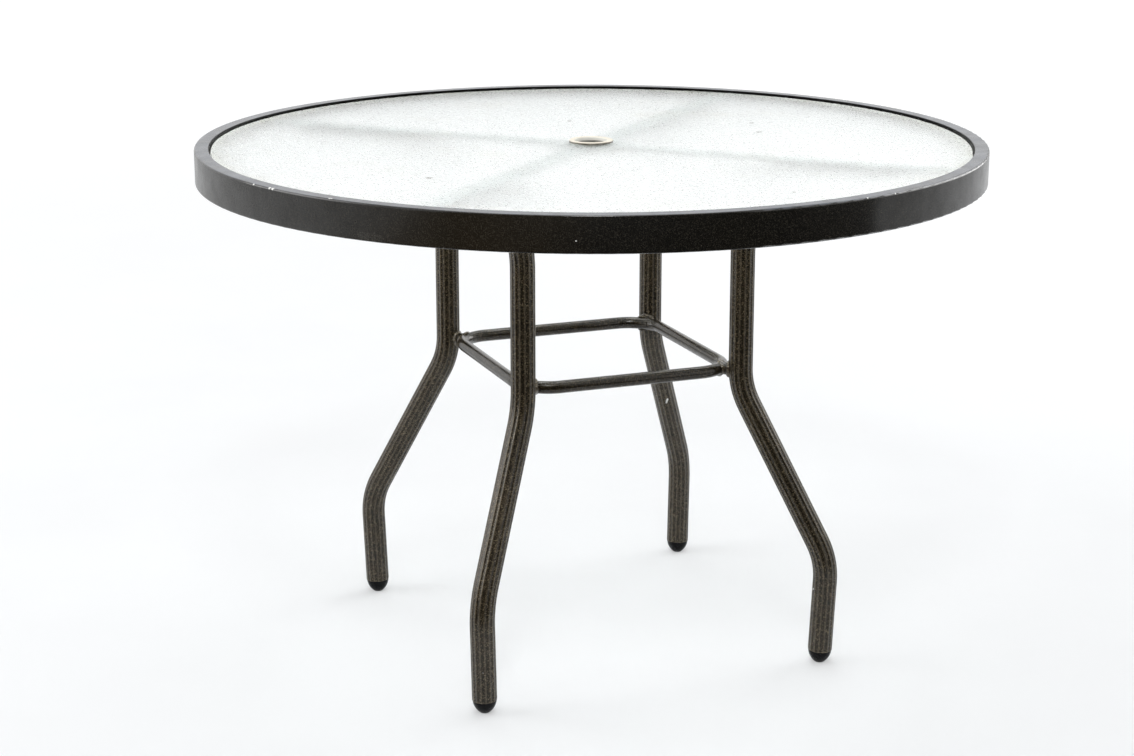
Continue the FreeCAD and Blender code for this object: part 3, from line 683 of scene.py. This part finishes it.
def makeSky(look):  # white where it is seen or mirrored, and dimmer as a light
    world = bpy.data.worlds.new("studioSky")
    world.use_nodes = True
    bpy.context.scene.world = world
    tree = world.node_tree
    rays = addNode(tree, "ShaderNodeLightPath").outputs
    seen = calc(tree, "MAXIMUM", calc(tree, "MAXIMUM", rays["Is Camera Ray"], rays["Is Glossy Ray"]),
                rays["Is Transmission Ray"])
    background = tree.nodes["Background"]
    background.inputs["Color"].default_value = look["colour"]
    feed(tree, background, {"Strength": remap(tree, seen, (0.0, 1.0), (look["lighting"], look["seen"]))})


lampLook = {
    "aim": (0, 0, 0.5),  # a place in the middle of the table
    "lamps": {
        "key": {"place": (-3.3, 1.2, 2.0), "size": 2.6, "power": 62.0},
        "fill": {"place": (3.3, 1.1, 1.9), "size": 2.6, "power": 40.0},
        "top": {"place": (0.4, 0.9, 3.6), "size": 1.8, "power": 45.0},
        "front": {"place": (-1.07, -2.75, 3.9), "size": 0.8, "power": 50.0},
    },
}


def makeLamps(look):
    for name, lamp in look["lamps"].items():
        data = bpy.data.lights.new(name, "AREA")
        data.size = lamp["size"]
        data.energy = lamp["power"]
        light = bpy.data.objects.new(name, data)
        bpy.context.scene.collection.objects.link(light)
        light.location = lamp["place"]
        aim = Vector(look["aim"]) - Vector(lamp["place"])
        light.rotation_euler = aim.to_track_quat("-Z", "Y").to_euler()
        light.visible_camera = False


clothLook = {
    "turn": -21.2, "colour": (0.012, 0.012, 0.012, 1),
    "warmColour": (0.25, 0.175, 0.095, 1), "warmReach": (-1.3, -2.2),  # along X, at the left ends
    "cloths": {
        "back": {"place": (-1.62, -4.18, 2.1), "size": (8.0, 4.2), "tilt": 90.0},
        "front": {"place": (-0.121, -2.524, 0.002), "size": (7.6, 3.4), "tilt": 0.0},
    },
}


def makeCloths(look):  # dark cloths that only reflections see give the camera's side its deep tones
    material, tree, shader, place = newMaterial("darkCloth", 0.0, Roughness=1.0)
    left = remap(tree, addPart(tree, place, "X"), look["warmReach"])
    feed(tree, shader, {"Base Color": blendColour(tree, left, look["colour"], look["warmColour"])})
    for name, cloth in look["cloths"].items():
        deselectAll()
        turn = (math.radians(cloth["tilt"]), 0, math.radians(look["turn"]))
        bpy.ops.mesh.primitive_plane_add(size=1.0, location=cloth["place"], rotation=turn)
        sheet = bpy.context.object
        sheet.name = f"studio_{name}_cloth"
        sheet.scale = (*cloth["size"], 1)
        applyPlace()
        for ray in ("camera", "diffuse", "transmission", "shadow"):
            setattr(sheet, f"visible_{ray}", False)
        sheet.data.materials.append(material)


cameraLook = {
    "place": (-1.1536, -2.9079, 1.2146), "pitchDown": 15.18, "heading": 21.04, "lens": 73.69, "sensor": 36.0,
    "farClip": 200.0,
}


def makeCamera(look):
    data = bpy.data.cameras.new("photoCamera")
    data.lens = look["lens"]
    data.sensor_width = look["sensor"]
    data.clip_end = look["farClip"]
    camera = bpy.data.objects.new("photoCamera", data)
    bpy.context.scene.collection.objects.link(camera)
    camera.location = look["place"]
    camera.rotation_euler = (math.radians(90 - look["pitchDown"]), 0, math.radians(-look["heading"]))
    bpy.context.scene.camera = camera


makeFloor(floorLook)
makeSky(skyLook)
makeLamps(lampLook)
makeCloths(clothLook)
makeCamera(cameraLook)
bpy.context.scene.view_settings.view_transform = "Standard"
print("stage: floor, lights and camera are set")
